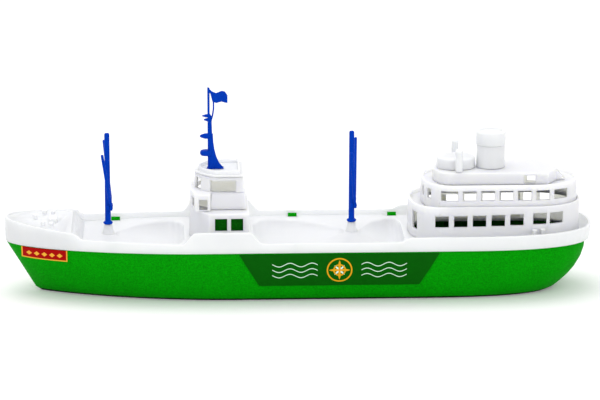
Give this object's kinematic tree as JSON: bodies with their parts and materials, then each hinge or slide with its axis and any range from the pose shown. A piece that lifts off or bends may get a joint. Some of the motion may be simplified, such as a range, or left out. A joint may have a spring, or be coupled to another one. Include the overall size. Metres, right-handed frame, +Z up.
{
  "type": "toy boat",
  "caption": "Toy cargo boat with a raked hull, scooped holds, a bridge and a stepped aft house, masts that turn on pegs and derrick booms that swing on pins.",
  "frame": {"origin": "on the flat of the keel, under the middle of the boat's length and beam", "axes": "+X to the bow, +Y to port, +Z up"},
  "size_m": [0.46, 0.1082, 0.1611],
  "materials": {
    "green_plastic": "glossy moulded polypropylene",
    "white_plastic": "satin moulded polypropylene",
    "blue_plastic": "glossy moulded polypropylene",
    "red_label": "printed film",
    "green_label": "printed film"
  },
  "bodies": {
    "boat": {"hull": "green_plastic", "deck": "white_plastic", "bridge_lower_house": "white_plastic", "bridge_upper_house": "white_plastic", "bridge_roof": "white_plastic", "aft_lower_house": "white_plastic", "aft_upper_house": "white_plastic", "top_house": "white_plastic", "skylight_house": "white_plastic", "vent_port": "white_plastic", "vent_starboard": "white_plastic", "funnel": "white_plastic", "funnel_cap": "white_plastic", "bow_label_port": "red_label", "bow_label_starboard": "red_label", "side_label_port": "green_label", "side_label_starboard": "green_label"},
    "foremast": {"foremast": "blue_plastic"},
    "foremast_boom_port": {"foremast_boom_port": "blue_plastic"},
    "foremast_boom_starboard": {"foremast_boom_starboard": "blue_plastic"},
    "mainmast": {"mainmast": "blue_plastic"},
    "mainmast_boom_port": {"mainmast_boom_port": "blue_plastic"},
    "mainmast_boom_starboard": {"mainmast_boom_starboard": "blue_plastic"},
    "radar_mast": {"radar_mast": "blue_plastic"}
  },
  "joints": [
    {"name": "foremast_swivel", "type": "hinge", "parent": "boat", "child": "foremast", "pos_m": [0.14922, 0, 0.0528], "axis": [0, 0, 1], "continuous": true},
    {"name": "foremast_boom_port_swing", "type": "hinge", "parent": "foremast", "child": "foremast_boom_port", "pos_m": [0.14662, 0.004, 0.0664], "axis": [-1, 0, 0], "range_deg": [-23, 35]},
    {"name": "foremast_boom_starboard_swing", "type": "hinge", "parent": "foremast", "child": "foremast_boom_starboard", "pos_m": [0.14662, -0.004, 0.0664], "axis": [1, 0, 0], "range_deg": [-23, 35]},
    {"name": "mainmast_swivel", "type": "hinge", "parent": "boat", "child": "mainmast", "pos_m": [-0.04168, 0, 0.0528], "axis": [0, 0, 1], "continuous": true},
    {"name": "mainmast_boom_port_swing", "type": "hinge", "parent": "mainmast", "child": "mainmast_boom_port", "pos_m": [-0.04428, 0.004, 0.0664], "axis": [-1, 0, 0], "range_deg": [-23, 35]},
    {"name": "mainmast_boom_starboard_swing", "type": "hinge", "parent": "mainmast", "child": "mainmast_boom_starboard", "pos_m": [-0.04428, -0.004, 0.0664], "axis": [1, 0, 0], "range_deg": [-23, 35]},
    {"name": "radar_mast_swivel", "type": "hinge", "parent": "boat", "child": "radar_mast", "pos_m": [0.06863, 0, 0.0967], "axis": [0, 0, 1], "range_deg": [-85, 85]}
  ]
}
